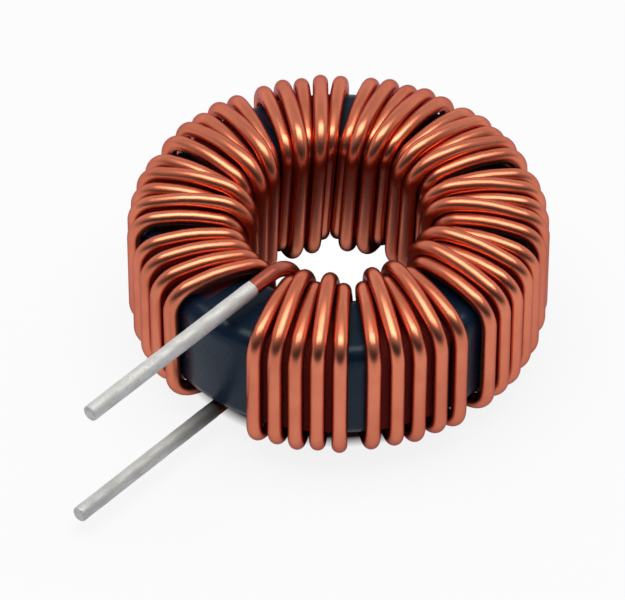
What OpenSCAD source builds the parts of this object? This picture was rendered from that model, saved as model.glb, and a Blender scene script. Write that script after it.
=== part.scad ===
/* [Core] */
// Outer diameter of the coated ring core
core_od = 38.4; // [38:0.1:38.8]
// Inner diameter of the coated ring core
core_id = 21.4; // [21.2:0.1:22]
// Height of the coated ring core
core_h = 11.4; // [10.6:0.1:12]
// Rounding of the core's outer edges
outer_edge = 1.8; // [1.5:0.1:1.8]
// Rounding of the core's inner edges
inner_edge = 1.5; // [1.2:0.1:1.5]

/* [Wire] */
// Wire diameter over the enamel
wire_d = 1.5; // [1.46:0.01:1.51]
// Diameter of the bare copper inside the enamel
copper_d = 1.4; // [1.34:0.01:1.42]
// Diameter of the copper at a lead's tip, where stripping has scraped it thinner
copper_tip_d = 1.32; // [1.3:0.01:1.4]
// Radius of the wire's centreline where it bends round the outer edges
outer_bend = 2.6; // [2.6:0.1:2.8]
// Radius of the wire's centreline where it bends into the hole
inner_bend = 2.3; // [2.3:0.1:2.4]
// Angle at which a turn leaves the flat face, so that it arches over the ring
arch = 10; // [8:0.5:11]
// Height that a raised turn gains by the time it reaches the hole
climb = 1.2; // [1.15:0.05:1.3]

/* [Leads] */
// Distance from the ring's axis to the tip of the upper lead
upper_reach = 37.2; // [32:0.1:42]
// Distance from the ring's axis to the tip of the lower lead
lower_reach = 37.9; // [32:0.1:42]
// Distance from the ring's axis to where the upper lead's tinning starts
upper_tin_start = 14.1; // [14:0.1:20]
// Distance from the ring's axis to where the lower lead's tinning starts
lower_tin_start = 18.2; // [14:0.1:20]
// Diameter of the upper lead over its tinning
upper_tin_d = 1.64; // [1.56:0.01:1.7]
// Diameter of the lower lead over its tinning
lower_tin_d = 1.58; // [1.56:0.01:1.7]

/* [Hidden] */
$fn = 48;

// Gap left between neighbouring turns, and between the wire and the core.
slack = 0.02;
// Straight runs are a hair slimmer than the bends and seat a short way into them.
slim = 0.004;
seat = 0.05;
// Turns the runs' seams away from those of the bends.
seam_turn = 30;
// Tinning tapers down to the enamel over this length, and rounds off the tip by this radius.
tin_taper = 0.8;
tin_round = 0.3;

// Groups of turns round the ring, clockwise seen from above, with bare core between groups:
// turns, first angle and step on the outer wall, first angle and step in the hole.
groups = [
    [4, 12.2, 7.3, 2.8, 8.8],
    [5, 44.7, 6.65, 39.3, 6],
    [5, 80.8, 6.45, 72.8, 6.2],
    [5, 115.6, 5.87, 108.8, 6.2],
    [5, 148.4, 5.7, 142.8, 5.9],
    [5, 179.4, 5.8, 176.1, 5.8],
    [5, 212.4, 6.4, 209.5, 6],
    [5, 246.4, 6.3, 243.7, 6.2],
    [5, 282.4, 6.5, 279.3, 6.4],
    [5, 317.9, 6.05, 314.9, 6.1]
];
// Lean of the first turn's outer pass, over the wall's height.
first_lean = 0.6;
// Lean of the passes up through the hole, over the wall's height.
hole_lean = 5;
// Sideways distances of the lower and the upper lead from the ring's axis.
lower_side = 0.45;
upper_side = 1.7;
// Share of its lean by which a raised turn drifts back as it overshoots its neighbours' bends.
drift = 0.15;

wire_r = wire_d / 2;
copper_r = copper_d / 2;
copper_tip_r = copper_tip_d / 2;
spacing = wire_d + slack;
outer_r = core_od / 2 + wire_r + slack;
hole_r = core_id / 2 - wire_r - slack;
level = core_h / 2 + wire_r + slack;
// Step in the hole from which turns have room to lie side by side, with none raised.
level_step = 2 * asin(spacing / 2 / hole_r);
raised_level = level + climb;
// Radius of the bends of a raised turn, round those of its neighbours, and of the arches.
raised_bend = inner_bend + 0.7 * wire_d;
arch_bend = 12;
// Corners this near to the radius of the wall or of the hole belong to it.
near = 0.5;

function unit(v) = v / norm(v);

// Angles run clockwise from the leads' side of the ring.
function at(r, angle, z) = [-r * sin(angle), -r * cos(angle), z];

// Radius at which a raised turn rests in the groove beside a turn that is a step away.
function groove_r(step) =
    hole_r * cos(step) - sqrt(pow(spacing, 2) - pow(hole_r * sin(step), 2));

// How far a pass through the hole still has to lean over at a height.
function leaned(z) = hole_lean * (level - z) / (2 * level);

// The four corners of one turn: up through the hole, out over the top and down the outer wall.
// The first turn starts at the lower lead.
function turn(group, k) =
    let (
        first = group == groups[0] && k == 0,
        raised = k % 2 == 1 && group[4] < level_step,
        outer = group[1] + k * group[2],
        inner = group[3] + k * group[4],
        back = raised ? drift * (outer - inner) : 0,
        r = raised ? groove_r(group[4] - back) : hole_r,
        z = raised ? raised_level : level,
        start = first ? -asin(lower_side / hole_r) : inner - back - leaned(-z),
        lean = first ? first_lean / 2 : 0
    )
    [
        at(r, start, -z),
        at(r, inner - back - leaned(z), z),
        at(outer_r, outer + lean, level),
        at(outer_r, outer - lean, -level)
    ];

// The last pass comes up through the hole on top of its neighbours, and becomes the upper lead.
last_r = groove_r(groups[len(groups) - 1][4]);
last_angle = -asin(upper_side / last_r);

// Corners of the wire where it goes round the core's edges, from one end of its enamel to the other.
edge_corners = [
    [lower_side, -lower_tin_start, -level],
    for (group = groups) for (k = [0:group[0] - 1]) each turn(group, k),
    at(last_r, last_angle - leaned(-raised_level), -raised_level),
    at(last_r, last_angle, raised_level),
    [upper_side, -upper_tin_start, raised_level]
];
edge_count = len(edge_corners);

// Top of the arch between the edge corners k and k + 1, over or under the core.
function crown(k) =
    let (
        a = edge_corners[k],
        b = edge_corners[k + 1],
        rise = norm([b.x - a.x, b.y - a.y]) / 2 * tan(arch)
    )
    (a + b) / 2 + [0, 0, sign(a.z) * rise];
function is_span(k) = k > 0 && k < edge_count - 2 && k % 2 == 0;

// All corners of the wire's centreline.
corners = [
    for (k = [0:edge_count - 1]) each is_span(k) ? [edge_corners[k], crown(k)] : [edge_corners[k]]
];
last_corner = len(corners) - 1;

// How widely the wire bends at a corner, by the corner's distance from the ring's axis.
function bend_r(p) =
    let (r = norm([p.x, p.y]))
    r > outer_r - near ? outer_bend
        : r > hole_r + near ? arch_bend
        : r > hole_r - near ? inner_bend
        : raised_bend;
function before(k) = unit(corners[k] - corners[k - 1]);
function after(k) = unit(corners[k + 1] - corners[k]);
function turned(k) = acos(before(k) * after(k));
function cut_back(k) = k == 0 || k == last_corner ? 0 : bend_r(corners[k]) * tan(turned(k) / 2);

// Places its children with their own x, y and z axes along e1, e2 and e3.
module placed(e1, e2, e3, origin) {
    multmatrix([
        [e1.x, e2.x, e3.x, origin.x],
        [e1.y, e2.y, e3.y, origin.y],
        [e1.z, e2.z, e3.z, origin.z],
        [0, 0, 0, 1]
    ]) children();
}

// Straight rod from one point to another, with a radius at each end.
module rod(start, end, r1, r2) {
    direction = unit(end - start);
    across = unit(cross(abs(direction.z) < 0.7 ? [0, 0, 1] : [1, 0, 0], direction));
    placed(across, cross(direction, across), direction, start)
        rotate([0, 0, seam_turn])
            cylinder(r1 = r1, r2 = r2, h = norm(end - start));
}

// Straight stretch of wire from corner k to the next corner.
module run(k) {
    direction = after(k);
    start = corners[k] + direction * (cut_back(k) - seat);
    end = corners[k + 1] - direction * (cut_back(k + 1) - seat);
    rod(start, end, wire_r - slim, wire_r - slim);
}

// Bend of the wire at corner k.
module bend(k) {
    r = bend_r(corners[k]);
    centre = corners[k] + unit(after(k) - before(k)) * r / cos(turned(k) / 2);
    e1 = unit(corners[k] - before(k) * cut_back(k) - centre);
    placed(e1, before(k), cross(e1, before(k)), centre)
        rotate_extrude(angle = turned(k))
            translate([r, 0])
                circle(r = wire_r);
}

module toroid_core() {
    color("#20262f")
        rotate_extrude($fn = 144)
            ring_section();
}

// Half section of the ring, with rounded corners.
module ring_section() {
    width = (core_od - core_id) / 2;
    translate([core_id / 2 + inner_edge, -core_h / 2])
        square([width - inner_edge - outer_edge, core_h]);
    translate([core_id / 2, -core_h / 2 + inner_edge])
        square([width / 2, core_h - 2 * inner_edge]);
    translate([core_id / 2 + width / 2, -core_h / 2 + outer_edge])
        square([width / 2, core_h - 2 * outer_edge]);
    for (side = [-1, 1]) {
        translate([core_id / 2 + inner_edge, side * (core_h / 2 - inner_edge)])
            circle(r = inner_edge);
        translate([core_od / 2 - outer_edge, side * (core_h / 2 - outer_edge)])
            circle(r = outer_edge);
    }
}

module winding() {
    color("#b8643c") {
        for (k = [0:last_corner - 1]) run(k);
        for (k = [1:last_corner - 1]) bend(k);
        stripped_end(lower_side, -level, lower_tin_start, lower_reach);
        stripped_end(upper_side, raised_level, upper_tin_start, upper_reach);
    }
}

// Bare copper at a lead's end, up to the tin that covers its tip.
module stripped_end(side, z, start, reach) {
    rod([side, seat - start, z], [side, tin_round - reach, z], copper_r, copper_tip_r);
}

module upper_lead_tinning() {
    color("#c9c9c6")
        tinning(upper_side, raised_level, upper_tin_start, upper_reach, upper_tin_d / 2);
}

module lower_lead_tinning() {
    color("#c9c9c6")
        tinning(lower_side, -level, lower_tin_start, lower_reach, lower_tin_d / 2);
}

// Coat of tin round a lead's stripped end, closed over its tip.
module tinning(side, z, start, reach, r) {
    length = reach - start - seat;
    translate([side, -start - seat, z])
        rotate([90, 0, 0])
            rotate_extrude() {
                polygon([
                    [copper_r, 0],
                    [wire_r, 0],
                    [r, tin_taper],
                    [r, length - tin_round],
                    [copper_tip_r, length - tin_round]
                ]);
                translate([0, length - tin_round])
                    intersection() {
                        square([r, tin_round]);
                        union() {
                            square([r - tin_round, tin_round]);
                            translate([r - tin_round, 0])
                                circle(r = tin_round);
                        }
                    }
            }
}

toroid_core();
winding();
upper_lead_tinning();
lower_lead_tinning();
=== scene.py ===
"""Looks of a toroidal power inductor: the smooth enamelled wire, the coated ring and the tinned leads."""

import math
import random

import bpy
from bpy.props import FloatProperty, FloatVectorProperty, IntProperty, PointerProperty
from mathutils import Matrix, Vector


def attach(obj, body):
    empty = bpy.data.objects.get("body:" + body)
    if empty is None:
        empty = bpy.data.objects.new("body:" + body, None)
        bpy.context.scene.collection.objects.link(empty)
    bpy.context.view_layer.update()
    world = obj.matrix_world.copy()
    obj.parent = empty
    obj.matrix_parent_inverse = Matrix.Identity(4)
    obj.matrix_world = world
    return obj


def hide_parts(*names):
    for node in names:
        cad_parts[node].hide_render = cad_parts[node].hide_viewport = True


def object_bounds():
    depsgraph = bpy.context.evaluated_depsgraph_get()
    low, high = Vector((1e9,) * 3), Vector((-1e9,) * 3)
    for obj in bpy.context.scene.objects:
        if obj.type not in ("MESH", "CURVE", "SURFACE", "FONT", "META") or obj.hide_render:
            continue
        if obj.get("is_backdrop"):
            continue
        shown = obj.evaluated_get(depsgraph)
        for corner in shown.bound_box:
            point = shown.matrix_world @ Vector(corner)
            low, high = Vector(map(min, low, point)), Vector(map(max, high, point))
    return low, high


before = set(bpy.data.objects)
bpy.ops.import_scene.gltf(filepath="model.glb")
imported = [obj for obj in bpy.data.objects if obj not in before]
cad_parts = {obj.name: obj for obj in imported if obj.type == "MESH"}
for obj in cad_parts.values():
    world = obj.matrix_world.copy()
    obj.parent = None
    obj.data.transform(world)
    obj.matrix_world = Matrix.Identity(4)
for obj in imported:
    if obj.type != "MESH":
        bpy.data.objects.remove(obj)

bl_info = {
    "name": "Toroidal Inductor",
    "version": (1, 0, 0),
    "blender": (4, 5, 0),
    "location": "View3D > Sidebar > Inductor",
    "description": "Dresses the ring inductor's frame: coated core, enamelled winding and tinned leads",
    "category": "Object",
}

MM = 0.001
BODY = "root"

# Points this near to a plane or a line are taken to be on it.
TOUCH = 0.01 * MM
# Corners of the wire this near to the radius of the outer wall or of the hole belong to it.
NEAR = 0.5 * MM
# The enamelled wire reaches this far into the solder at both of its ends.
TUCK = 0.4 * MM
# The wire's lower end is painted dark over the first length, solder's grey darkened into painted shadow under
# the core, and none of the grey is left at the second.
GREYED, GREY_GONE = 3 * MM, 4 * MM
# The enamel is painted darker and made duller over this length at the wire's upper end, as painted shade.
SHADED_END = 9 * MM
# The drawing lines' pattern is this long along the wire.
PATTERN = 12 * MM
# The solder tapers down over this length, and its thin end is this many times as wide as the wire.
COLLAR = 0.85 * MM
COLLAR_FIT = 1.004
# The solder's tips are rounded this much.
TIP_ROUNDING = 0.22 * MM
# Its skin is cut into this many stretches, which end this far short of the tip. At a growth above 1 they get
# longer to the tip.
STRETCHES = 60
TIP_CLEAR = 0.3 * MM
GROWTH = 1.15
# The lumps of its uneven skin are this wide and this deep.
LUMP_WIDTH = 1.6 * MM
LUMP_DEPTH = 0.05 * MM
# The lower lead's solder is painted darker between these two places along the leads, as painted shade beside
# the ring.
ROOT_SHADE = (-26 * MM, -18 * MM)

# Zones of the floor. Each starts at the first distance from the ring's axis and is full at the second.
# Painted shadow: the floor is drawn dark inside OPEN_FLOOR, and inside SEEN_AROUND the camera sees that dark
# floor instead of even white.
OPEN_FLOOR = (17 * MM, 19 * MM)
SEEN_AROUND = (15.8 * MM, 17.2 * MM)
SEEN_IN_HOLE = (14 * MM, 12.5 * MM)
MIRRORED_IN_HOLE = (9.5 * MM, 7.5 * MM)
# A painted pool of light in the hole, seen only in mirrors: what shiny pieces mirror of the floor brightens
# from just in front of the axis to this far behind it.
MIRRORED_GLOW_BEHIND = (-0.5 * MM, 5.5 * MM)

# Heights in the room, from 0 at the horizon to 1 overhead: where the low walls have ended and where they are
# full, and where the pale parts are still white and where they have dimmed to the ceiling's grey.
LOW_WALLS = (0.29, 0.01)
DIMMING = (0.25, 0.75)
WHITE = (1, 1, 1, 1)
CEILING_GREY = (0.5, 0.5, 0.5, 1)

# Groups of turns round the ring, clockwise seen from above, with bare core between groups:
# turns, first angle and step on the outer wall, first angle and step in the hole, in degrees.
TURN_GROUPS = [
    (4, 12.2, 7.3, 2.8, 8.8),
    (5, 44.7, 6.65, 39.3, 6.0),
    (5, 80.8, 6.45, 72.8, 6.2),
    (5, 115.6, 5.87, 108.8, 6.2),
    (5, 148.4, 5.7, 142.8, 5.9),
    (5, 179.4, 5.8, 176.1, 5.8),
    (5, 212.4, 6.4, 209.5, 6.0),
    (5, 246.4, 6.3, 243.7, 6.2),
    (5, 282.4, 6.5, 279.3, 6.4),
    (5, 317.9, 6.05, 315.4, 7.2),
]


# ---------------------------------------------------------------- settings


class CoreSettings(bpy.types.PropertyGroup):
    """Sizes and finish of the coated ring core."""

    outer_diameter: FloatProperty(
        name="Outer Diameter", description="Outer diameter of the coated ring",
        default=38.4 * MM, unit="LENGTH")
    inner_diameter: FloatProperty(
        name="Inner Diameter", description="Diameter of the hole through the ring",
        default=21.4 * MM, unit="LENGTH")
    height: FloatProperty(
        name="Height", description="Height of the coated ring",
        default=11.4 * MM, unit="LENGTH")
    outer_edge: FloatProperty(
        name="Outer Edge", description="Rounding of the outer edges",
        default=1.8 * MM, unit="LENGTH")
    inner_edge: FloatProperty(
        name="Inner Edge", description="Rounding of the inner edges",
        default=1.5 * MM, unit="LENGTH")
    colour: FloatVectorProperty(
        name="Coating", description="Colour of the epoxy coat",
        default=(0.006, 0.018, 0.042), subtype="COLOR", min=0, max=1)
    worn_colour: FloatVectorProperty(
        name="Scuffs", description="Colour of scuffs and dust on the coat",
        default=(0.05, 0.07, 0.10), subtype="COLOR", min=0, max=1)
    # Painted reflection: the copper's reddish light laid as colour on the coat between the turns.
    painted_bounce_colour: FloatVectorProperty(
        name="Between Turns", description="Colour of the coat where the turns beside it shine on it",
        default=(0.20, 0.02, 0.015), subtype="COLOR", min=0, max=1)
    steps: IntProperty(
        name="Steps", description="Facets round the ring", default=360, min=48)


class WireSettings(bpy.types.PropertyGroup):
    """Sizes and finish of the winding."""

    diameter: FloatProperty(
        name="Diameter", description="Diameter of the wire over its enamel",
        default=1.5 * MM, unit="LENGTH")
    snug: FloatProperty(
        name="Snug", description="How much fuller the wire is drawn, so that neighbouring turns touch",
        default=0.06 * MM, unit="LENGTH")
    outer_bend: FloatProperty(
        name="Outer Bend", description="Radius of the centreline round the outer edges",
        default=2.6 * MM, unit="LENGTH")
    inner_bend: FloatProperty(
        name="Inner Bend", description="Radius of the centreline where it bends into the hole",
        default=2.3 * MM, unit="LENGTH")
    arch_bend: FloatProperty(
        name="Arch Bend", description="Radius of the centreline on top of an arched turn",
        default=12 * MM, unit="LENGTH")
    arch: FloatProperty(
        name="Arch", description="Angle at which a turn leaves the ring's flat face",
        default=math.radians(10), unit="ROTATION")
    climb: FloatProperty(
        name="Climb", description="Height that a raised turn gains by the time it reaches the hole",
        default=1.2 * MM, unit="LENGTH")
    slack: FloatProperty(
        name="Slack", description="Gap between the wire and the core, and between neighbouring turns",
        default=0.02 * MM, unit="LENGTH")
    drift: FloatProperty(
        name="Drift", description="Share of its lean by which a raised turn drifts back as it overshoots",
        default=0.15)
    hole_lean: FloatProperty(
        name="Hole Lean", description="Lean of the passes up through the hole, over the wall's height",
        default=math.radians(5), unit="ROTATION")
    first_lean: FloatProperty(
        name="First Lean", description="Lean of the first turn's outer pass over the wall's height",
        default=math.radians(0.6), unit="ROTATION")
    sway: FloatProperty(
        name="Sway", description="How far a hand-laid turn strays sideways on the outer wall",
        default=0.07 * MM, unit="LENGTH")
    seed: IntProperty(
        name="Seed", description="Picks the pattern of small differences between turns", default=7)
    sides: IntProperty(
        name="Sides", description="Facets round the wire", default=24, min=8)
    colour: FloatVectorProperty(
        name="Enamel", description="Colour of the enamelled copper",
        default=(0.71, 0.214, 0.120), subtype="COLOR", min=0, max=1)
    deep_colour: FloatVectorProperty(
        name="Thick Enamel", description="Colour where the enamel is thicker",
        default=(0.61, 0.168, 0.093), subtype="COLOR", min=0, max=1)
    # Partly solder grey and partly painted shadow under the core: the wire's lower end is drawn nearly black.
    solder_and_shade_colour: FloatVectorProperty(
        name="Greyed Enamel", description="Colour of the wire beside the lower lead's solder",
        default=(0.05, 0.05, 0.05), subtype="COLOR", min=0, max=1)
    # Painted shade: the enamel towards the upper lead is drawn in this darker colour.
    painted_shade_colour: FloatVectorProperty(
        name="Shadowed Enamel", description="Colour where soldering has dulled the enamel",
        default=(0.38, 0.10, 0.065), subtype="COLOR", min=0, max=1)


class LeadSettings(bpy.types.PropertyGroup):
    """Places, sizes and finish of the two leads."""

    upper_reach: FloatProperty(
        name="Upper Reach", description="Distance from the ring's axis to the tip of the upper lead",
        default=37.2 * MM, unit="LENGTH")
    lower_reach: FloatProperty(
        name="Lower Reach", description="Distance from the ring's axis to the tip of the lower lead",
        default=37.9 * MM, unit="LENGTH")
    upper_tin_start: FloatProperty(
        name="Upper Tin Start", description="Distance from the ring's axis to the upper lead's tinning",
        default=14.1 * MM, unit="LENGTH")
    lower_tin_start: FloatProperty(
        name="Lower Tin Start", description="Distance from the ring's axis to the lower lead's tinning",
        default=18.2 * MM, unit="LENGTH")
    upper_tin_diameter: FloatProperty(
        name="Upper Tin Diameter", description="Diameter of the upper lead over its tinning",
        default=1.64 * MM, unit="LENGTH")
    lower_tin_diameter: FloatProperty(
        name="Lower Tin Diameter", description="Diameter of the lower lead over its tinning",
        default=1.58 * MM, unit="LENGTH")
    upper_side: FloatProperty(
        name="Upper Side", description="Sideways distance of the upper lead from the ring's axis",
        default=1.7 * MM, unit="LENGTH")
    lower_side: FloatProperty(
        name="Lower Side", description="Sideways distance of the lower lead from the ring's axis",
        default=0.45 * MM, unit="LENGTH")
    last_step: FloatProperty(
        name="Last Step", description="Step from the last turn to the pass that becomes the upper lead",
        default=math.radians(4.4), unit="ROTATION")
    colour: FloatVectorProperty(
        name="Tin", description="Colour of the dipped solder",
        default=(0.59, 0.60, 0.615), subtype="COLOR", min=0, max=1)
    dull_colour: FloatVectorProperty(
        name="Dull Tin", description="Colour of the duller patches of solder",
        default=(0.49, 0.50, 0.51), subtype="COLOR", min=0, max=1)
    # Painted shade: the lower lead's solder is drawn this dark beside the ring.
    root_shade_colour: FloatVectorProperty(
        name="Root Tin", description="Colour of the lower lead's solder beside the ring",
        default=(0.07, 0.07, 0.07), subtype="COLOR", min=0, max=1)


class StageSettings(bpy.types.PropertyGroup):
    """Floor, lights and camera."""

    floor_size: FloatProperty(
        name="Floor Size", description="Width of the floor", default=3.0, unit="LENGTH")
    floor_colour: FloatVectorProperty(
        name="Floor", description="Colour of the floor",
        default=(0.68, 0.70, 0.76), subtype="COLOR", min=0, max=1)
    # Painted shadow: the floor is drawn in this dark colour under the ring and down in its hole.
    shaded_colour: FloatVectorProperty(
        name="Shaded Floor", description="Colour of the floor under the ring and down in its hole",
        default=(0.16, 0.15, 0.22), subtype="COLOR", min=0, max=1)
    floor_glow: FloatProperty(
        name="Floor Glow", description="Share of plain white in the floor as it is seen",
        default=0.87, subtype="FACTOR", min=0, max=1)
    mirrored_glow: FloatProperty(
        name="Mirrored Glow", description="Share of plain white in the floor as shiny pieces mirror it",
        default=0.67, subtype="FACTOR", min=0, max=1)
    softbox_power: FloatProperty(
        name="Softbox Power", description="Power of the overhead softbox", default=2.4, unit="POWER")
    softbox_colour: FloatVectorProperty(
        name="Softbox Colour", description="Colour of the overhead softbox",
        default=(1.0, 0.96, 0.84), subtype="COLOR", min=0, max=1)
    softbox_size: FloatVectorProperty(
        name="Softbox Size", description="Width and depth of the overhead softbox",
        default=(0.60, 0.28), size=2, unit="LENGTH")
    softbox_height: FloatProperty(
        name="Softbox Height", description="Height of the softbox above the ring", default=0.5,
        unit="LENGTH")
    softbox_tilt: FloatProperty(
        name="Softbox Tilt", description="How far the softbox leans behind the ring",
        default=math.radians(3.5), unit="ROTATION")
    pale_height: FloatProperty(
        name="Pale Height", description="Height of the middle of the room's pale side above the horizon",
        default=math.radians(35), unit="ROTATION")
    pale_width: FloatProperty(
        name="Pale Width", description="Half width of the room's pale side",
        default=math.radians(79), unit="ROTATION")
    pale_edge: FloatProperty(
        name="Pale Edge", description="Half width of the soft edge of the pale side",
        default=math.radians(24), unit="ROTATION")
    dark_colour: FloatVectorProperty(
        name="Dark Room", description="Colour of the dark part of the room",
        default=(0.02, 0.02, 0.05), subtype="COLOR", min=0, max=1)
    camera_azimuth: FloatProperty(
        name="Camera Azimuth", description="Direction of the camera round the ring",
        default=math.radians(41.6), unit="ROTATION")
    camera_elevation: FloatProperty(
        name="Camera Elevation", description="Height of the camera above the ring's plane",
        default=math.radians(44), unit="ROTATION")
    camera_distance: FloatProperty(
        name="Camera Distance", description="Distance from the camera to the ring's centre",
        default=0.589, unit="LENGTH")
    camera_lens: FloatProperty(
        name="Camera Lens", description="Focal length of the camera, in millimetres", default=344)
    aim_right: FloatProperty(
        name="Aim Right", description="How far right of the ring's centre the camera aims",
        default=-2.52 * MM, unit="LENGTH")
    aim_up: FloatProperty(
        name="Aim Up", description="How far above the ring's centre the camera aims",
        default=-3.90 * MM, unit="LENGTH")


# ---------------------------------------------------------------- modelling helpers


def deselect_all():
    if bpy.context.object and bpy.context.object.mode != "OBJECT":
        bpy.ops.object.mode_set(mode="OBJECT")
    bpy.ops.object.select_all(action="DESELECT")


def named(name):
    """The object that an operator has just added, under its plain name."""
    piece = bpy.context.object
    piece.name = name
    piece.data.name = name
    return piece


def select_vertices(piece, wanted):
    """Selects the vertices for which wanted(position) is true. Called in object mode, leaves edit mode on."""
    for vertex in piece.data.vertices:
        vertex.select = wanted(vertex.co)
    for edge in piece.data.edges:
        edge.select = all(piece.data.vertices[i].select for i in edge.vertices)
    for face in piece.data.polygons:
        face.select = all(piece.data.vertices[i].select for i in face.vertices)
    bpy.ops.object.mode_set(mode="EDIT")


def settle(piece, node, material):
    """Puts the finished piece's place into its mesh, dresses it and ties it to the frame."""
    deselect_all()
    piece.select_set(True)
    bpy.context.view_layer.objects.active = piece
    bpy.ops.object.transform_apply(location=True, rotation=True, scale=True)
    piece.data.materials.clear()
    piece.data.materials.append(material)
    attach(piece, BODY)
    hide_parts(node)
    deselect_all()


# ---------------------------------------------------------------- material helpers


class NodeSheet:
    """Adds and links shader nodes in one tree, row by row."""

    def __init__(self, tree):
        tree.nodes.clear()
        self.tree = tree
        self.count = 0

    def add(self, kind, label="", **values):
        node = self.tree.nodes.new(kind)
        node.label = label
        node.location = (220 * (self.count % 6), -260 * (self.count // 6))
        self.count += 1
        for key, value in values.items():
            setattr(node, key, value)
        return node

    def link(self, source, target):
        self.tree.links.new(source, target)

    def feed(self, node, values):
        """Gives a node's inputs their values: other nodes' outputs, or plain numbers and vectors."""
        for socket, value in zip(node.inputs, values):
            if isinstance(value, bpy.types.NodeSocket):
                self.link(value, socket)
            else:
                socket.default_value = value

    def reckon(self, label, operation, *values):
        """A number worked out from other numbers."""
        node = self.add("ShaderNodeMath", label, operation=operation)
        self.feed(node, values)
        return node.outputs["Value"]

    def measure(self, label, operation, *vectors):
        """A number worked out from vectors."""
        node = self.add("ShaderNodeVectorMath", label, operation=operation)
        self.feed(node, vectors)
        return node.outputs["Value"]

    def ramp(self, label, value, start=0, end=1, low=0, high=1):
        """Runs from low to high while the value runs from start to end."""
        node = self.add("ShaderNodeMapRange", label)
        self.feed(node, (value, start, end, low, high))
        return node.outputs["Result"]


def new_group(name, inputs, outputs):
    """An empty shader node group with named sockets: (name, socket type, default)."""
    tree = bpy.data.node_groups.new(name, "ShaderNodeTree")
    for label, kind, default in inputs:
        socket = tree.interface.new_socket(name=label, in_out="INPUT", socket_type=kind)
        if default is not None:
            socket.default_value = default
    for label, kind in outputs:
        tree.interface.new_socket(name=label, in_out="OUTPUT", socket_type=kind)
    sheet = NodeSheet(tree)
    return sheet, sheet.add("NodeGroupInput").outputs, sheet.add("NodeGroupOutput").inputs


def mottle_group():
    """Soft patches: a mask that drifts between 0 and 1 over the surface."""
    if "Mottle" in bpy.data.node_groups:
        return bpy.data.node_groups["Mottle"]
    sheet, given, result = new_group(
        "Mottle",
        [("Vector", "NodeSocketVector", None), ("Scale", "NodeSocketFloat", 100.0),
         ("Low", "NodeSocketFloat", 0.35), ("High", "NodeSocketFloat", 0.65)],
        [("Mask", "NodeSocketFloat")])
    noise = sheet.add("ShaderNodeTexNoise", "patches")
    noise.inputs["Detail"].default_value = 3
    noise.inputs["Roughness"].default_value = 0.55
    sheet.link(given["Vector"], noise.inputs["Vector"])
    sheet.link(given["Scale"], noise.inputs["Scale"])
    spread = sheet.add("ShaderNodeMapRange", "spread", interpolation_type="SMOOTHSTEP")
    sheet.feed(spread, (noise.outputs["Fac"], given["Low"], given["High"]))
    sheet.link(spread.outputs["Result"], result["Mask"])
    return sheet.tree


def specks_group():
    """Small scattered specks, such as dust, nicks or pits: 1 on a speck and 0 elsewhere."""
    if "Specks" in bpy.data.node_groups:
        return bpy.data.node_groups["Specks"]
    sheet, given, result = new_group(
        "Specks",
        [("Vector", "NodeSocketVector", None), ("Scale", "NodeSocketFloat", 900.0),
         ("Size", "NodeSocketFloat", 0.2), ("Share", "NodeSocketFloat", 0.2)],
        [("Mask", "NodeSocketFloat")])
    cells = sheet.add("ShaderNodeTexVoronoi", "cells")
    cells.inputs["Randomness"].default_value = 1
    sheet.link(given["Vector"], cells.inputs["Vector"])
    sheet.link(given["Scale"], cells.inputs["Scale"])
    number = sheet.add("ShaderNodeSeparateColor", "cell's own number")
    sheet.link(cells.outputs["Color"], number.inputs["Color"])
    near = sheet.reckon("near a cell's middle", "LESS_THAN", cells.outputs["Distance"], given["Size"])
    chosen = sheet.reckon("only some cells", "LESS_THAN", number.outputs["Red"], given["Share"])
    sheet.link(sheet.reckon("speck", "MULTIPLY", near, chosen), result["Mask"])
    return sheet.tree


def grain_group():
    """Fine surface grain as a height for a bump: a coarse and a fine noise added together."""
    if "Grain" in bpy.data.node_groups:
        return bpy.data.node_groups["Grain"]
    sheet, given, result = new_group(
        "Grain",
        [("Vector", "NodeSocketVector", None), ("Scale", "NodeSocketFloat", 1500.0),
         ("Fine", "NodeSocketFloat", 0.3)],
        [("Height", "NodeSocketFloat")])
    noises = []
    finer = sheet.reckon("finer scale", "MULTIPLY", given["Scale"], 4.3)
    for label, scale in (("coarse grain", given["Scale"]), ("fine grain", finer)):
        noise = sheet.add("ShaderNodeTexNoise", label)
        noise.inputs["Detail"].default_value = 2
        sheet.link(given["Vector"], noise.inputs["Vector"])
        sheet.link(scale, noise.inputs["Scale"])
        noises.append(noise.outputs["Fac"])
    coarse, fine = noises
    sheet.link(sheet.reckon("height", "MULTIPLY_ADD", fine, given["Fine"], coarse), result["Height"])
    return sheet.tree


def new_material(name, kind):
    """An empty material with one shader on its output."""
    material = bpy.data.materials.new(name)
    material.use_nodes = True
    sheet = NodeSheet(material.node_tree)
    shader = sheet.add(kind, "surface")
    output = sheet.add("ShaderNodeOutputMaterial")
    sheet.link(shader.outputs[0], output.inputs["Surface"])
    return material, sheet, shader


def effect(sheet, group, vector, label, **values):
    """Places a shared effect in a material with its own values."""
    node = sheet.add("ShaderNodeGroup", label, node_tree=group)
    for key, value in values.items():
        node.inputs[key].default_value = value
    sheet.link(vector, node.inputs["Vector"])
    return node.outputs[0]


def attribute(sheet, label, name):
    """What the mesh stores under a name."""
    return sheet.add("ShaderNodeAttribute", label, attribute_name=name).outputs


def colour_mix(sheet, label, low, high, mask):
    """Mixes two colours, each a node's output or a plain one, by a mask."""
    mix = sheet.add("ShaderNodeMixRGB", label)
    colours = [colour if isinstance(colour, bpy.types.NodeSocket) else (*colour, 1) for colour in (low, high)]
    sheet.feed(mix, (mask, *colours))
    return mix.outputs["Color"]


def bumped(sheet, label, height, depth, under=None):
    """A normal that is roughened by a height, over another normal if there is one."""
    node = sheet.add("ShaderNodeBump", label)
    node.inputs["Distance"].default_value = depth
    sheet.link(height, node.inputs["Height"])
    if under is not None:
        sheet.link(under, node.inputs["Normal"])
    return node.outputs["Normal"]


# ---------------------------------------------------------------- materials


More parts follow.
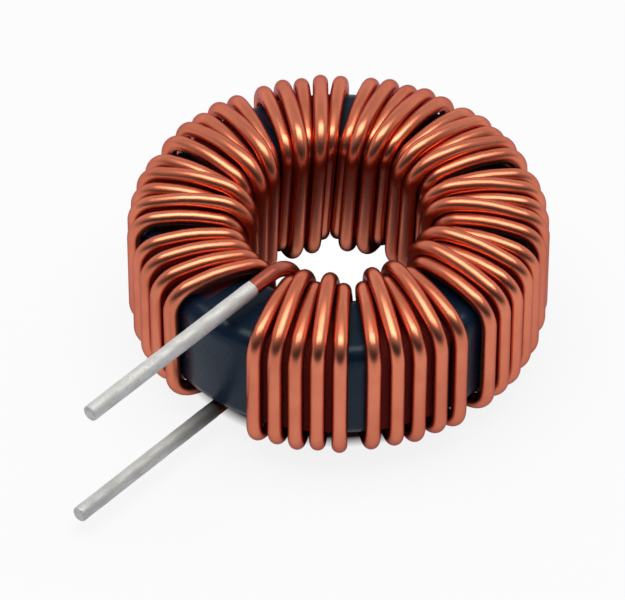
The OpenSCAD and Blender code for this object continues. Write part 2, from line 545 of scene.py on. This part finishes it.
def epoxy_coat(core):
    """Dark slate-blue epoxy powder coat: satin, with orange peel, a few scuffs and dust specks, and a painted
    reddish reflection of the copper on the coat between the turns of a group.
    """
    material, sheet, shader = new_material("epoxy_coat", "ShaderNodeBsdfPrincipled")
    place = sheet.add("ShaderNodeTexCoord").outputs["Object"]
    patches = effect(sheet, mottle_group(), place, "uneven coat", Scale=260.0, Low=0.3, High=0.7)
    dust = effect(sheet, specks_group(), place, "dust", Scale=1500.0, Size=0.16, Share=0.02)
    peel = effect(sheet, grain_group(), place, "orange peel", Scale=1300.0, Fine=0.35)
    turns = attribute(sheet, "between turns", "between_turns")["Fac"]

    deep = tuple(0.6 * part for part in core.colour)
    coat = colour_mix(sheet, "coat", deep, core.colour, patches)
    dusty = colour_mix(sheet, "dusty coat", coat, core.worn_colour, dust)
    # Painted reflection: between the turns of a group the coat takes the copper's reddish light as colour,
    # and is made duller there.
    painted_light = colour_mix(sheet, "copper shine", dusty, core.painted_bounce_colour, turns)
    sheen = sheet.ramp("sheen varies", patches, low=0.30, high=0.22)
    duller = sheet.reckon("duller between turns", "MAXIMUM", sheen, turns)
    sheet.link(painted_light, shader.inputs["Base Color"])
    sheet.link(duller, shader.inputs["Roughness"])
    sheet.link(bumped(sheet, "orange peel", peel, 0.02 * MM), shader.inputs["Normal"])
    shader.inputs["Specular IOR Level"].default_value = 0.2
    shader.inputs["Specular Tint"].default_value = (0.7, 0.85, 1, 1)
    return material


def enamelled_copper(wire):
    """Copper seen through amber enamel: warm metal under a clear glossy coat, with faint drawing lines,
    painted shade darkening it towards the upper lead, and a lower end painted solder grey darkened into
    painted shadow.
    """
    material, sheet, shader = new_material("enamelled_copper", "ShaderNodeBsdfPrincipled")
    place = sheet.add("ShaderNodeTexCoord").outputs["Object"]
    along = attribute(sheet, "along the wire", "along_wire")["Vector"]
    painted_end_shade = attribute(sheet, "heated by the solder", "painted_end_shade")["Fac"]
    solder_and_shade = attribute(sheet, "wetted by the solder", "solder_and_shade")["Fac"]
    patches = effect(sheet, mottle_group(), place, "enamel thickness", Scale=170.0, Low=0.3, High=0.7)
    lines = effect(sheet, grain_group(), along, "drawing lines", Scale=3.0, Fine=0.5)
    nicks = effect(sheet, specks_group(), place, "nicks", Scale=900.0, Size=0.12, Share=0.08)

    enamel = colour_mix(sheet, "enamel", wire.deep_colour, wire.colour, patches)
    # Painted shade: towards the upper lead the enamel is drawn darker and duller, and the lower end is solder
    # grey darkened into painted shadow.
    dulled = colour_mix(sheet, "heated enamel", enamel, wire.painted_shade_colour, painted_end_shade)
    greyed = colour_mix(sheet, "grey end", dulled, wire.solder_and_shade_colour, solder_and_shade)
    gloss = sheet.ramp("gloss varies", patches, low=0.33, high=0.27)
    rougher = sheet.reckon("rougher where heated", "MULTIPLY_ADD", painted_end_shade, 0.12, gloss)
    drawn = bumped(sheet, "drawing lines", lines, 0.004 * MM)
    sheet.link(greyed, shader.inputs["Base Color"])
    sheet.link(rougher, shader.inputs["Roughness"])
    sheet.link(bumped(sheet, "nicks", nicks, -0.006 * MM, under=drawn), shader.inputs["Normal"])
    shader.inputs["Metallic"].default_value = 1
    shader.inputs["Specular Tint"].default_value = (0.45, 0.33, 0.42, 1)
    shader.inputs["Coat Weight"].default_value = 0.15
    shader.inputs["Coat Roughness"].default_value = 0.2
    return material


def dipped_tin(lead):
    """Dull solder from a dip: pale grey metal with soft streaks and small pits, painted darker towards the
    lower lead's root as painted shade.
    """
    material, sheet, shader = new_material("dipped_tin", "ShaderNodeBsdfPrincipled")
    place = sheet.add("ShaderNodeTexCoord").outputs["Object"]
    stretch = sheet.add("ShaderNodeMapping", "streaks run along the leads")
    stretch.inputs["Scale"].default_value = (1, 0.35, 1)
    sheet.link(place, stretch.inputs["Vector"])
    stretched = stretch.outputs["Vector"]
    streaks = effect(sheet, mottle_group(), stretched, "streaks", Scale=1400.0, Low=0.3, High=0.7)
    grain = effect(sheet, grain_group(), stretched, "grain", Scale=2200.0, Fine=0.4)
    pits = effect(sheet, specks_group(), place, "pits", Scale=2600.0, Size=0.28, Share=0.25)
    where = sheet.add("ShaderNodeSeparateXYZ")
    sheet.link(place, where.inputs["Vector"])
    lower = sheet.reckon("on the lower lead", "LESS_THAN", where.outputs["Z"], 0)
    near = sheet.ramp("near the ring", where.outputs["Y"], *ROOT_SHADE)

    tin = colour_mix(sheet, "tin", lead.dull_colour, lead.colour, streaks)
    pitted = tuple(0.95 * part for part in lead.dull_colour)
    skin = colour_mix(sheet, "pitted tin", tin, pitted, pits)
    # Painted shade: the lower lead's solder is drawn darker towards the ring.
    root = sheet.reckon("lower lead's root", "MULTIPLY", near, lower)
    painted_root_shade = colour_mix(sheet, "tin darkens to the root", skin, lead.root_shade_colour, root)
    grained = bumped(sheet, "grain", grain, 0.012 * MM)
    sheet.link(painted_root_shade, shader.inputs["Base Color"])
    sheet.link(sheet.ramp("dullness varies", streaks, low=0.66, high=0.54), shader.inputs["Roughness"])
    sheet.link(bumped(sheet, "pits", pits, -0.003 * MM, under=grained), shader.inputs["Normal"])
    shader.inputs["Metallic"].default_value = 0.5
    return material


def white_floor(stage):
    """White floor. It is seen partly as even white, and the rest of it keeps the soft shadow. It is painted
    dark under the ring as painted shadow, and shiny pieces see a painted pool of white light in its hole.
    """
    material, sheet, surface = new_material("white_floor", "ShaderNodeMixShader")
    place = sheet.add("ShaderNodeTexCoord").outputs["Object"]
    path = sheet.add("ShaderNodeLightPath").outputs
    seen = path["Is Camera Ray"]
    mirrored = sheet.reckon(
        "mirrored or through glass", "MAXIMUM", path["Is Glossy Ray"], path["Is Transmission Ray"])

    radius = sheet.measure("distance from the ring's axis", "LENGTH", place)
    turn = stage.camera_azimuth
    depth = sheet.measure(
        "how far behind the ring's axis", "DOT_PRODUCT", place, (-math.sin(turn), math.cos(turn), 0))
    # Painted shadow: under the ring the floor is drawn dark, and near the ring's foot the camera sees that
    # dark floor instead of even white.
    outside = sheet.ramp("outside the ring", radius, *OPEN_FLOOR)
    around = sheet.ramp("not hidden under the ring", radius, *SEEN_AROUND)
    hole = sheet.ramp("in the hole", radius, *SEEN_IN_HOLE)
    middle = sheet.ramp("middle of the hole", radius, *MIRRORED_IN_HOLE)
    behind = sheet.ramp("brighter behind the axis", depth, *MIRRORED_GLOW_BEHIND)

    # A painted pool of light in the hole, seen only in mirrors: the even white that shiny pieces mirror there
    # is brighter behind the axis.
    painted_light = sheet.reckon("shines up the hole", "MULTIPLY", middle, behind)
    bright = sheet.reckon("outside or up the hole", "MAXIMUM", outside, painted_light)
    shown = sheet.reckon("mirrored, but not under the ring", "MULTIPLY", mirrored, bright)
    mirrored_white = sheet.reckon("even white, mirrored", "MULTIPLY", shown, stage.mirrored_glow)
    seen_around = sheet.reckon("seen around the ring", "MULTIPLY", seen, around)
    white = sheet.reckon(
        "even white, seen or mirrored", "MULTIPLY_ADD", seen_around, stage.floor_glow, mirrored_white)
    seen_inside = sheet.reckon("even white in the hole", "MULTIPLY", seen, hole)
    share = sheet.reckon("share of even white", "MAXIMUM", white, seen_inside)

    matte = sheet.add("ShaderNodeBsdfDiffuse", "matte floor")
    # The floor's colour is painted dark under the ring and in its hole, as painted shadow.
    colour = colour_mix(sheet, "floor colour", stage.shaded_colour, stage.floor_colour, outside)
    sheet.link(colour, matte.inputs["Color"])
    even = sheet.add("ShaderNodeEmission", "even white")
    sheet.feed(surface, (share, matte.outputs["BSDF"], even.outputs["Emission"]))
    return material


# ---------------------------------------------------------------- the wire's path


def at(radius, angle, height):
    """A point round the ring. Angles run clockwise from the leads' side of the ring."""
    return Vector((-radius * math.sin(angle), -radius * math.cos(angle), height))


class WirePath:
    """The centreline of the wire, from the lower lead through every turn to the upper lead."""

    def __init__(self, core, wire, lead):
        self.wire, self.lead = wire, lead
        radius = wire.diameter / 2
        self.spacing = wire.diameter + wire.slack
        self.outer = core.outer_diameter / 2 + radius + wire.slack
        self.hole = core.inner_diameter / 2 - radius - wire.slack
        self.level = core.height / 2 + radius + wire.slack
        self.raised_level = self.level + wire.climb
        # Step in the hole from which turns have room to lie side by side, with none raised.
        self.level_step = 2 * math.asin(self.spacing / 2 / self.hole)
        # A raised turn bends round those of its neighbours.
        self.raised_bend = wire.inner_bend + 0.7 * wire.diameter
        self.stray = random.Random(wire.seed)

    def groove(self, step):
        """Radius at which a raised turn rests in the groove beside a turn that is a step away."""
        across = self.hole * math.sin(step)
        return self.hole * math.cos(step) - math.sqrt(self.spacing**2 - across**2)

    def leaned(self, height):
        """How far a pass through the hole still has to lean over at a height."""
        return self.wire.hole_lean * (self.level - height) / (2 * self.level)

    def turn(self, group, k):
        """The four corners of one turn: up through the hole, out over the top and down the outer wall."""
        _, outer_start, outer_step, inner_start, inner_step = map(math.radians, group)
        first = group == TURN_GROUPS[0] and k == 0
        raised = k % 2 == 1 and inner_step < self.level_step
        sway = self.wire.sway / self.outer
        outer = outer_start + k * outer_step
        inner = inner_start + k * inner_step
        back = self.wire.drift * (outer - inner) if raised else 0
        radius = self.groove(inner_step - back) if raised else self.hole
        height = self.raised_level if raised else self.level
        start = inner - back - self.leaned(-height)
        if first:
            start = -math.asin(self.lead.lower_side / self.hole)
        lean = self.wire.first_lean / 2 if first else 0
        top = outer + lean + self.stray.uniform(-sway, sway)
        bottom = outer - lean + self.stray.uniform(-sway, sway)
        return [
            at(radius, start, -height),
            at(radius, inner - back - self.leaned(height), height),
            at(self.outer, top, self.level),
            at(self.outer, bottom, -self.level),
        ]

    def edge_corners(self):
        """Where the wire goes round the core's edges, from one end of its enamel to the other."""
        lead = self.lead
        corners = [Vector((lead.lower_side, -lead.lower_tin_start - TUCK, -self.level))]
        for group in TURN_GROUPS:
            for k in range(group[0]):
                corners += self.turn(group, k)
        last_radius = self.groove(lead.last_step)
        last_angle = -math.asin(lead.upper_side / last_radius)
        corners.append(at(last_radius, last_angle - self.leaned(-self.raised_level), -self.raised_level))
        corners.append(at(last_radius, last_angle, self.raised_level))
        corners.append(Vector((lead.upper_side, -lead.upper_tin_start - TUCK, self.raised_level)))
        return corners

    def corners(self):
        """All corners: the edge corners, and the crown of each arch over or under the core."""
        edges = self.edge_corners()
        corners = []
        for k, corner in enumerate(edges):
            corners.append(corner)
            if 0 < k < len(edges) - 2 and k % 2 == 0:
                following = edges[k + 1]
                rise = (following - corner).xy.length / 2 * math.tan(self.wire.arch)
                corners.append((corner + following) / 2 + Vector((0, 0, math.copysign(rise, corner.z))))
        return corners

    def bend_radius(self, corner):
        """How widely the wire bends at a corner, by the corner's distance from the ring's axis."""
        radius = corner.xy.length
        if radius > self.outer - NEAR:
            return self.wire.outer_bend
        if radius > self.hole + NEAR:
            return self.wire.arch_bend
        if radius > self.hole - NEAR:
            return self.wire.inner_bend
        return self.raised_bend

    def points(self, step=math.radians(8)):
        """Points along the centreline, which turns by a step or less from point to point round its bends."""
        corners = self.corners()
        inward = (corners[1] - corners[0]).normalized()
        points = [corners[0] + inward * way for way in (0, GREYED, GREY_GONE)]
        for before, corner, after in zip(corners, corners[1:], corners[2:]):
            arrive = (corner - before).normalized()
            leave = (after - corner).normalized()
            angle = arrive.angle(leave)
            bend = self.bend_radius(corner)
            centre = corner + (leave - arrive).normalized() * bend / math.cos(angle / 2)
            spoke = corner - arrive * bend * math.tan(angle / 2) - centre
            axis = arrive.cross(leave).normalized()
            count = max(3, math.ceil(angle / step))
            for i in range(count + 1):
                points.append(centre + Matrix.Rotation(angle * i / count, 3, axis) @ spoke)
        points.append(corners[-1])
        return points


# ---------------------------------------------------------------- pieces


class INDUCTOR_OT_core(bpy.types.Operator):
    """Spins the coated ring core from its rounded section"""

    bl_idname = "inductor.core"
    bl_label = "Ring Core"

    def execute(self, context):
        core = context.scene.inductor_core
        inside, outside = core.inner_diameter / 2, core.outer_diameter / 2
        deselect_all()
        bpy.ops.mesh.primitive_plane_add(
            size=1, location=((inside + outside) / 2, 0, 0), rotation=(math.radians(90), 0, 0))
        piece = named("ring_core")
        piece.scale = (outside - inside, core.height, 1)
        bpy.ops.object.transform_apply(location=True, rotation=True, scale=True)
        for radius, rounding in ((inside, core.inner_edge), (outside, core.outer_edge)):
            select_vertices(piece, lambda co: abs(co.x - radius) < TOUCH)
            bpy.ops.mesh.select_mode(type="VERT")
            bpy.ops.mesh.bevel(offset=rounding, segments=10, profile=0.5, affect="VERTICES")
            bpy.ops.object.mode_set(mode="OBJECT")
        bpy.ops.object.mode_set(mode="EDIT")
        bpy.ops.mesh.select_all(action="SELECT")
        bpy.ops.mesh.delete(type="ONLY_FACE")
        bpy.ops.mesh.select_all(action="SELECT")
        bpy.ops.mesh.spin(steps=core.steps, angle=math.radians(360), center=(0, 0, 0), axis=(0, 0, 1))
        bpy.ops.mesh.select_all(action="SELECT")
        bpy.ops.mesh.remove_doubles(threshold=TOUCH / 10)
        bpy.ops.mesh.normals_make_consistent(inside=False)
        bpy.ops.object.mode_set(mode="OBJECT")
        bpy.ops.object.shade_smooth()
        self.mark_painted_bounce(piece, core)
        settle(piece, "toroid_core", epoxy_coat(core))
        return {"FINISHED"}

    def mark_painted_bounce(self, piece, core):
        """Marks the coat that lies between the turns of a group, where a reflection of the copper is painted
        on it.
        """
        mesh = piece.data
        covered = mesh.attributes.new("between_turns", "FLOAT", "POINT")
        inner, outer = core.inner_diameter / 2, core.outer_diameter / 2
        for vertex, mark in zip(mesh.vertices, covered.data):
            x, y, _ = vertex.co
            angle = math.degrees(math.atan2(-x, -y))
            share = (math.hypot(x, y) - inner) / (outer - inner)
            for count, outer_start, outer_step, inner_start, inner_step in TURN_GROUPS:
                start = inner_start + share * (outer_start - inner_start)
                step = inner_step + share * (outer_step - inner_step)
                margin = step / 4
                if (angle - start - margin) % 360 < (count - 1) * step - 2 * margin:
                    mark.value = 1


class INDUCTOR_OT_winding(bpy.types.Operator):
    """Sweeps the enamelled wire along its whole path, turn after turn"""

    bl_idname = "inductor.winding"
    bl_label = "Winding"

    def execute(self, context):
        scene = context.scene
        wire = scene.inductor_wire
        path = WirePath(scene.inductor_core, wire, scene.inductor_lead).points()
        deselect_all()
        bpy.ops.curve.primitive_nurbs_path_add()
        piece = named("enamelled_wire")
        curve = piece.data
        curve.splines.clear()
        spline = curve.splines.new("POLY")
        spline.points.add(len(path) - 1)
        for point, place in zip(spline.points, path):
            point.co = (*place, 1)
        curve.dimensions = "3D"
        curve.twist_mode = "MINIMUM"
        curve.bevel_depth = (wire.diameter + wire.snug) / 2
        curve.bevel_resolution = (wire.sides - 4) // 2
        curve.use_fill_caps = True
        bpy.ops.object.convert(target="MESH")
        self.mark_along(piece, path, wire)
        bpy.ops.object.shade_smooth_by_angle(angle=math.radians(40))
        settle(piece, "winding", enamelled_copper(wire))
        return {"FINISHED"}

    def mark_along(self, piece, path, wire):
        """Stores each point's place round and along the wire, and where it is painted with shade: darker
        towards the upper lead, and solder grey darkened into painted shadow at the lower end.
        """
        mesh = piece.data
        rings, sides = len(path), wire.sides
        if len(mesh.vertices) < rings * sides:
            raise RuntimeError(f"the wire has {len(mesh.vertices)} vertices, not {rings * sides}")
        lengths = [0.0]
        for a, b in zip(path, path[1:]):
            lengths.append(lengths[-1] + (b - a).length)
        for name, kind in (("along_wire", "FLOAT_VECTOR"), ("painted_end_shade", "FLOAT"), ("solder_and_shade", "FLOAT")):
            mesh.attributes.new(name, kind, "POINT")
        along, painted_end_shade, solder_and_shade = (mesh.attributes[name].data for name in ("along_wire", "painted_end_shade", "solder_and_shade"))
        for i in range(len(mesh.vertices)):
            ring, side = divmod(i, sides)
            ring = min(ring, rings - 1)
            turn = 2 * math.pi * side / sides
            along[i].vector = (math.cos(turn), math.sin(turn), lengths[ring] / PATTERN)
            painted_end_shade[i].value = max(0, 1 - (lengths[-1] - lengths[ring]) / SHADED_END)
            solder_and_shade[i].value = 1 if lengths[ring] < GREYED + TOUCH else 0


class INDUCTOR_OT_leads(bpy.types.Operator):
    """Coats the two stripped leads with solder, from the enamel to the tips"""

    bl_idname = "inductor.leads"
    bl_label = "Tinned Leads"

    def execute(self, context):
        scene = context.scene
        wire, lead = scene.inductor_wire, scene.inductor_lead
        path = WirePath(scene.inductor_core, wire, lead)
        tin = dipped_tin(lead)
        self.coat("tinned_upper_lead", "upper_lead_tinning", tin, wire.diameter, lead.upper_side,
                  path.raised_level, lead.upper_tin_start, lead.upper_reach, lead.upper_tin_diameter)
        self.coat("tinned_lower_lead", "lower_lead_tinning", tin, wire.diameter, lead.lower_side,
                  -path.level, lead.lower_tin_start, lead.lower_reach, lead.lower_tin_diameter)
        return {"FINISHED"}

    def coat(self, name, node, tin, wire_diameter, side, height, start, reach, diameter):
        """One coat of solder: a cylinder with a softly rounded tip, a thin collar and an uneven skin."""
        length = reach - start
        deselect_all()
        bpy.ops.mesh.primitive_cylinder_add(
            vertices=40, radius=diameter / 2, depth=length,
            location=(side, -(start + reach) / 2, height), rotation=(math.radians(90), 0, 0))
        piece = named(name)
        bpy.ops.object.transform_apply(location=True, rotation=True, scale=True)
        bpy.ops.object.mode_set(mode="EDIT")
        bpy.ops.mesh.select_all(action="SELECT")
        bpy.ops.mesh.bisect(plane_co=(0, -start - COLLAR, 0), plane_no=(0, 1, 0))
        bpy.ops.object.mode_set(mode="OBJECT")
        select_vertices(piece, lambda co: co.y > -start - TOUCH)
        bpy.ops.mesh.select_mode(type="VERT")
        bpy.ops.transform.resize(
            value=(COLLAR_FIT * wire_diameter / diameter,) * 3, center_override=(side, -start, height))
        bpy.ops.object.mode_set(mode="OBJECT")
        select_vertices(piece, lambda co: co.y < -reach + TOUCH)
        bpy.ops.mesh.bevel(offset=TIP_ROUNDING, segments=4, profile=0.5, affect="EDGES")
        bpy.ops.object.mode_set(mode="OBJECT")
        self.slice_along(piece, start, reach)
        self.roughen(piece)
        bpy.ops.object.shade_smooth_by_angle(angle=math.radians(50))
        settle(piece, node, tin)

    def slice_along(self, piece, start, reach):
        """Cuts the coat into short stretches, so that its skin can be uneven."""
        bpy.ops.object.mode_set(mode="EDIT")
        length = reach - start - TIP_CLEAR
        for k in range(1, STRETCHES):
            place = -start - length * (k / STRETCHES) ** GROWTH
            bpy.ops.mesh.select_all(action="SELECT")
            bpy.ops.mesh.bisect(plane_co=(0, place, 0), plane_no=(0, 1, 0))
        bpy.ops.object.mode_set(mode="OBJECT")

    def roughen(self, piece):
        """Gives the solder the slightly uneven skin of a hand dip."""
        texture = bpy.data.textures.new(piece.name + "_dip", "CLOUDS")
        texture.noise_scale = LUMP_WIDTH
        skin = piece.modifiers.new("uneven dip", "DISPLACE")
        skin.texture = texture
        skin.texture_coords = "LOCAL"
        skin.mid_level = 0.5
        skin.strength = LUMP_DEPTH
        bpy.ops.object.modifier_apply(modifier=skin.name)


class INDUCTOR_OT_stage(bpy.types.Operator):
    """Lays the white floor, hangs the softbox and sets up the camera"""

    bl_idname = "inductor.stage"
    bl_label = "Stage"

    def execute(self, context):
        stage = context.scene.inductor_stage
        self.lay_floor(stage)
        self.hang_softbox(stage)
        self.light_room(stage)
        self.place_camera(context.scene, stage)
        context.scene.view_settings.view_transform = "Standard"
        return {"FINISHED"}

    def lay_floor(self, stage):
        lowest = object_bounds()[0].z
        deselect_all()
        bpy.ops.mesh.primitive_plane_add(size=stage.floor_size, location=(0, 0, lowest))
        floor = named("floor")
        floor.data.materials.append(white_floor(stage))
        floor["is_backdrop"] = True

    def hang_softbox(self, stage):
        """A large soft light overhead, leaning a little behind the ring as the camera sees it."""
        lean, turn = stage.softbox_tilt, stage.camera_azimuth
        away = Vector((-math.sin(turn), math.cos(turn), 0))
        place = (away * math.sin(lean) + Vector((0, 0, math.cos(lean)))) * stage.softbox_height
        deselect_all()
        bpy.ops.object.light_add(type="AREA", location=place)
        softbox = named("softbox")
        softbox.data.shape = "RECTANGLE"
        softbox.data.size, softbox.data.size_y = stage.softbox_size
        softbox.data.energy = stage.softbox_power
        softbox.data.color = stage.softbox_colour
        softbox.rotation_mode = "QUATERNION"
        softbox.rotation_quaternion = place.to_track_quat("Z", "Y")

    def light_room(self, stage):
        """A dark room with pale low walls and one pale side, behind the ring."""
        world = bpy.data.worlds.new("room")
        bpy.context.scene.world = world
        world.use_nodes = True
        sheet = NodeSheet(world.node_tree)
        turn, height = stage.camera_azimuth, stage.pale_height
        behind = (-math.sin(turn) * math.cos(height), math.cos(turn) * math.cos(height), math.sin(height))
        direction = sheet.add("ShaderNodeTexCoord").outputs["Generated"]
        upward = sheet.add("ShaderNodeSeparateXYZ")
        sheet.link(direction, upward.inputs["Vector"])
        facing = sheet.measure("towards the pale side", "DOT_PRODUCT", direction, behind)
        edges = (math.cos(stage.pale_width + sign * stage.pale_edge) for sign in (1, -1))

        low = sheet.ramp("low walls", upward.outputs["Z"], *LOW_WALLS)
        side = sheet.ramp("pale side", facing, *edges)
        lit = sheet.reckon("low walls and pale side", "MAXIMUM", low, side)
        pale = sheet.add("ShaderNodeValToRGB", "pale walls, dimmer ceiling")
        for stop, place, colour in zip(pale.color_ramp.elements, DIMMING, (WHITE, CEILING_GREY)):
            stop.position, stop.color = place, colour
        sheet.link(upward.outputs["Z"], pale.inputs["Fac"])
        walls = colour_mix(sheet, "room's colour", stage.dark_colour, pale.outputs["Color"], lit)

        room = sheet.add("ShaderNodeBackground", "room")
        sheet.link(walls, room.inputs["Color"])
        white = sheet.add("ShaderNodeBackground", "white backdrop")
        path = sheet.add("ShaderNodeLightPath")
        mix = sheet.add("ShaderNodeMixShader")
        output = sheet.add("ShaderNodeOutputWorld")
        sheet.feed(mix, (path.outputs["Is Camera Ray"], room.outputs[0], white.outputs[0]))
        sheet.link(mix.outputs["Shader"], output.inputs["Surface"])

    def place_camera(self, scene, stage):
        azimuth, elevation = stage.camera_azimuth, stage.camera_elevation
        level = Vector((math.sin(azimuth), -math.cos(azimuth), 0))
        back = level * math.cos(elevation) + Vector((0, 0, math.sin(elevation)))
        right = Vector((math.cos(azimuth), math.sin(azimuth), 0))
        up = back.cross(right)
        place = back * stage.camera_distance
        aim = right * stage.aim_right + up * stage.aim_up
        deselect_all()
        bpy.ops.object.camera_add(location=place)
        camera = named("camera")
        camera.data.lens = stage.camera_lens
        camera.data.sensor_width = 36
        camera.data.clip_start = 0.01
        camera.data.clip_end = 10
        camera.rotation_mode = "QUATERNION"
        camera.rotation_quaternion = (place - aim).to_track_quat("Z", "Y")
        scene.camera = camera


class INDUCTOR_PT_sidebar(bpy.types.Panel):
    """Lists the pieces and their settings"""

    bl_idname = "INDUCTOR_PT_sidebar"
    bl_label = "Toroidal Inductor"
    bl_space_type = "VIEW_3D"
    bl_region_type = "UI"
    bl_category = "Inductor"

    def draw(self, context):
        scene = context.scene
        for operator, settings in (
            ("inductor.core", scene.inductor_core),
            ("inductor.winding", scene.inductor_wire),
            ("inductor.leads", scene.inductor_lead),
            ("inductor.stage", scene.inductor_stage),
        ):
            box = self.layout.box()
            box.operator(operator)
            for name in settings.bl_rna.properties.keys():
                if name not in {"rna_type", "name"}:
                    box.prop(settings, name)


SETTINGS = {
    "inductor_core": CoreSettings,
    "inductor_wire": WireSettings,
    "inductor_lead": LeadSettings,
    "inductor_stage": StageSettings,
}
OPERATORS = (INDUCTOR_OT_core, INDUCTOR_OT_winding, INDUCTOR_OT_leads, INDUCTOR_OT_stage)


def register():
    for name, settings in SETTINGS.items():
        bpy.utils.register_class(settings)
        setattr(bpy.types.Scene, name, PointerProperty(type=settings))
    for operator in OPERATORS:
        bpy.utils.register_class(operator)
    bpy.utils.register_class(INDUCTOR_PT_sidebar)


def unregister():
    bpy.utils.unregister_class(INDUCTOR_PT_sidebar)
    for operator in reversed(OPERATORS):
        bpy.utils.unregister_class(operator)
    for name, settings in SETTINGS.items():
        delattr(bpy.types.Scene, name)
        bpy.utils.unregister_class(settings)


def main():
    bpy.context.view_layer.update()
    register()
    bpy.ops.inductor.core()
    bpy.ops.inductor.winding()
    bpy.ops.inductor.leads()
    bpy.ops.inductor.stage()


if __name__ == "__main__":
    main()
